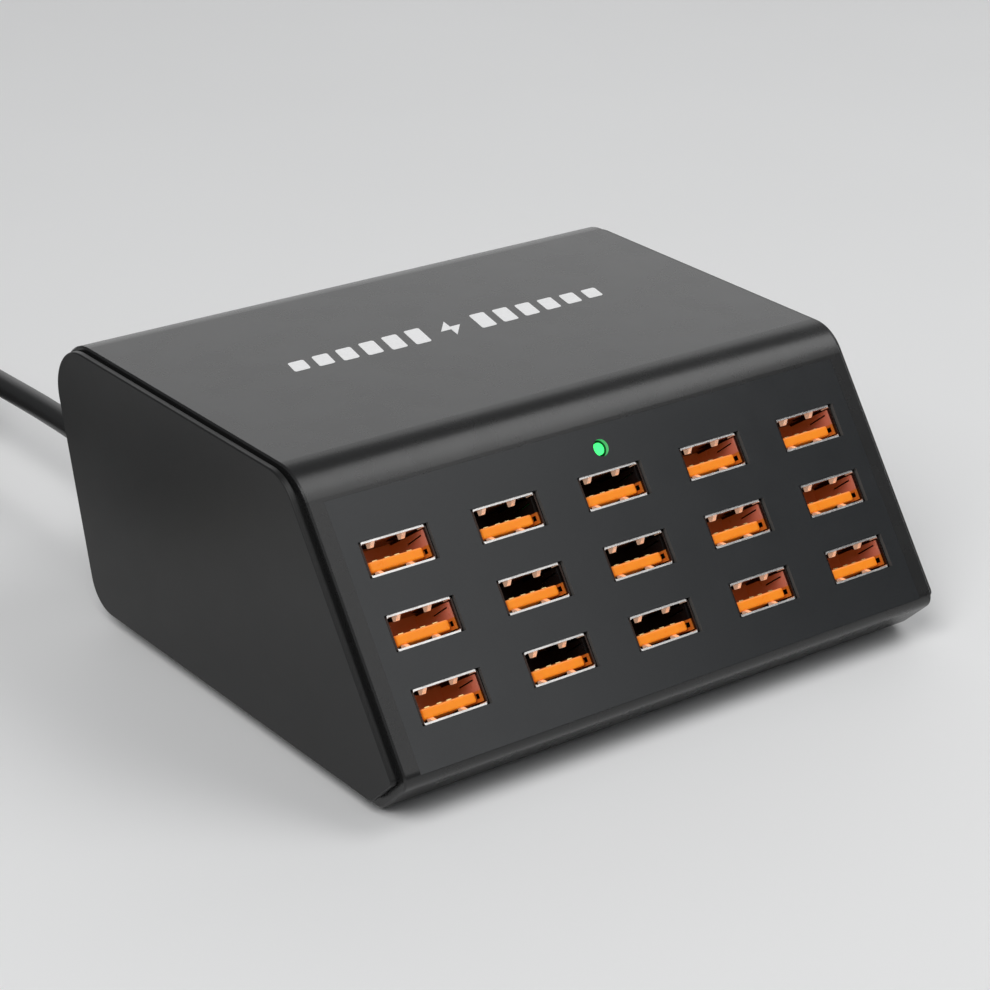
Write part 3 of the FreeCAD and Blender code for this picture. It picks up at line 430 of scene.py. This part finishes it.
def coil_points():
    """Four flat layers of turns, wound in, out, in and out, each one cord lower than the last."""
    top_layer = 3.5 * CORD
    points = []
    for step in range(int(COIL_TURNS * POINTS_A_TURN) + 1):
        turn = step / POINTS_A_TURN
        layer, done = divmod(turn, SPIRAL_TURNS + DROP_TURNS)
        share = min(done / SPIRAL_TURNS, 1.0)
        drop = smooth(max(0.0, (done - SPIRAL_TURNS) / DROP_TURNS))
        inward = share if layer % 2 == 0 else 1 - share
        radius = COIL_OUTER - (COIL_OUTER - COIL_INNER) * inward
        angle = 2 * math.pi * turn
        height = top_layer - (layer + drop) * CORD
        points.append((COIL_X + radius * math.cos(angle), COIL_Y + radius * math.sin(angle), height))
    return points


def make_cord(finish):
    curve = bpy.data.curves.new("mains_cord", "CURVE")
    curve.dimensions = "3D"
    route = LEAD + coil_points() + TAIL
    spline = curve.splines.new("NURBS")
    spline.points.add(len(route) - 1)
    for point, place in zip(spline.points, route):
        point.co = (*place, 1.0)
    spline.order_u = 3
    spline.use_endpoint_u = True
    spline.resolution_u = 4
    curve.bevel_depth = CORD / 2
    curve.bevel_resolution = 5
    curve.use_fill_caps = True
    curve.materials.append(finish.material)
    cord = bpy.data.objects.new("mains_cord", curve)
    bpy.context.scene.collection.objects.link(cord)
    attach(cord, "root")
    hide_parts("power_cord", "power_cord_coil", "power_cord_tail")


# ---------------------------------------------------------------- printed mark


def add_outline(mesh, outline, low, high):
    """Adds a closed flat shape, standing from height low to high."""
    rings = [[mesh.verts.new((x, y, z)) for x, y in outline] for z in (low, high)]
    mesh.faces.new(reversed(rings[0]))
    mesh.faces.new(rings[1])
    for i in range(len(outline)):
        j = (i + 1) % len(outline)
        mesh.faces.new((rings[0][i], rings[0][j], rings[1][j], rings[1][i]))


def slanted_bar(centre, half, slant, corner=0.5, steps=4):
    """Outline of a bar with round corners, leaning to the right."""
    outline = []
    for sx, sy, start in ((1, 1, 0), (-1, 1, 90), (-1, -1, 180), (1, -1, 270)):
        for step in range(steps + 1):
            angle = math.radians(start + 90 * step / steps)
            x = sx * (half[0] - corner) + corner * math.cos(angle)
            y = sy * (half[1] - corner) + corner * math.sin(angle)
            outline.append((centre[0] + x + slant * y, centre[1] + y))
    return outline


# the mark, in millimetres
BOLT = ((0.9, 3.4), (-2.6, -0.6), (-0.3, -0.6), (-0.9, -3.4), (2.6, 0.6), (0.3, 0.6))
MARK_CENTRE = (0.5, 16.2)
BARS_A_SIDE = 6
FIRST_BAR = 7.5
BAR_STEP = 5.2
BAR_HALF_WIDTH = 1.7
BAR_HALF_HEIGHT = 3.4
BAR_SHRINK = 0.26
BAR_SLANT = 0.25
INK_BELOW = 0.01
INK_ABOVE = 0.03


def make_mark(top):
    """White print on the lid: a bolt between two rows of bars that shrink outwards."""
    mesh = bmesh.new()
    low, high = top - INK_BELOW * MM, top + INK_ABOVE * MM
    outlines = [[(MARK_CENTRE[0] + x, MARK_CENTRE[1] + y) for x, y in BOLT]]
    for side in (-1, 1):
        for i in range(BARS_A_SIDE):
            centre = (MARK_CENTRE[0] + side * (FIRST_BAR + BAR_STEP * i), MARK_CENTRE[1])
            half = (BAR_HALF_WIDTH, BAR_HALF_HEIGHT - BAR_SHRINK * i)
            outlines.append(slanted_bar(centre, half, BAR_SLANT))
    for outline in outlines:
        add_outline(mesh, [(x * MM, y * MM) for x, y in outline], low, high)
    data = bpy.data.meshes.new("top_mark")
    mesh.to_mesh(data)
    mesh.free()
    mark = bpy.data.objects.new("top_mark", data)
    bpy.context.scene.collection.objects.link(mark)
    ink = Finish("mark_white", (0.9, 0.9, 0.9), 0.5)
    wear = ink.noise(2.5, detail=4.0)
    ink.colour(ink.tint(wear, (0.84, 0.84, 0.84), (0.92, 0.92, 0.92)))
    ink.relief(wear, 0.01)
    data.materials.append(ink.material)
    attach(mark, "root")


# ---------------------------------------------------------------- floor, light and camera


def make_floor():
    bpy.ops.mesh.primitive_plane_add(size=8.0, location=(0, 0, -0.02 * MM))
    floor = bpy.context.object
    floor.name = "floor"
    finish = Finish("floor_pale", (0.86, 0.86, 0.86), 0.6)
    finish.sheen(finish.noise(0.01), 0.55, 0.65)
    floor.data.materials.append(finish.material)


def softbox(name, place, target, size, power, colour=(1, 1, 1)):
    """A rectangular area light at a place, aimed at the target."""
    data = bpy.data.lights.new(name, "AREA")
    data.shape = "RECTANGLE"
    data.size, data.size_y = size
    data.energy = power
    data.color = colour
    light = bpy.data.objects.new(name, data)
    bpy.context.scene.collection.objects.link(light)
    light.location = place
    light.rotation_mode = "QUATERNION"
    light.rotation_quaternion = (Vector(target) - Vector(place)).to_track_quat("-Z", "Y")


def make_world():
    world = bpy.data.worlds.new("studio")
    world.use_nodes = True
    bpy.context.scene.world = world
    background = world.node_tree.nodes["Background"]
    background.inputs["Color"].default_value = (0.94, 0.97, 1.0, 1.0)
    background.inputs["Strength"].default_value = 0.15


def make_lights():
    """Key from the left, a card behind that the lid mirrors and a box that the front bend mirrors."""
    centre = (0, 0, 0.03)
    softbox("key_box", (-0.72, -0.39, 1.0), centre, (0.8, 0.8), 10)
    softbox("back_card", (0.95, 1.15, 0.58), (0.0, 0.0, 0.3), (2.2, 1.16), 0.86 * math.pi * 2.2 * 1.16)
    softbox("bend_box", (0.56, -0.26, 0.82), centre, (0.6, 0.5), 2.9 * math.pi * 0.6 * 0.5)
    softbox("panel_card", (0.40, -0.72, 0.6), centre, (0.34, 0.5), 1.1 * math.pi * 0.34 * 0.5)


def make_camera():
    data = bpy.data.cameras.new("camera")
    data.sensor_width = 36
    data.lens = 104.86
    data.clip_start, data.clip_end = 0.01, 20
    camera = bpy.data.objects.new("camera", data)
    bpy.context.scene.collection.objects.link(camera)
    right = Vector((0.79612387, -0.60480899, 0.01982078))
    up = Vector((0.23290669, 0.33648262, 0.91243297))
    back = right.cross(up)
    rotation = Matrix((right, up, back)).transposed()
    camera.matrix_world = Matrix.Translation((-0.29739, -0.38327, 0.24218)) @ rotation.to_4x4()
    bpy.context.scene.camera = camera
    bpy.context.scene.view_settings.view_transform = "Standard"


make_camera()
make_floor()
make_world()
make_lights()
dress_case()
dress_sockets()
cord_finish = dress_cord()
dress_inside()
make_cord(cord_finish)
make_mark(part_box("main_housing")[1].z)
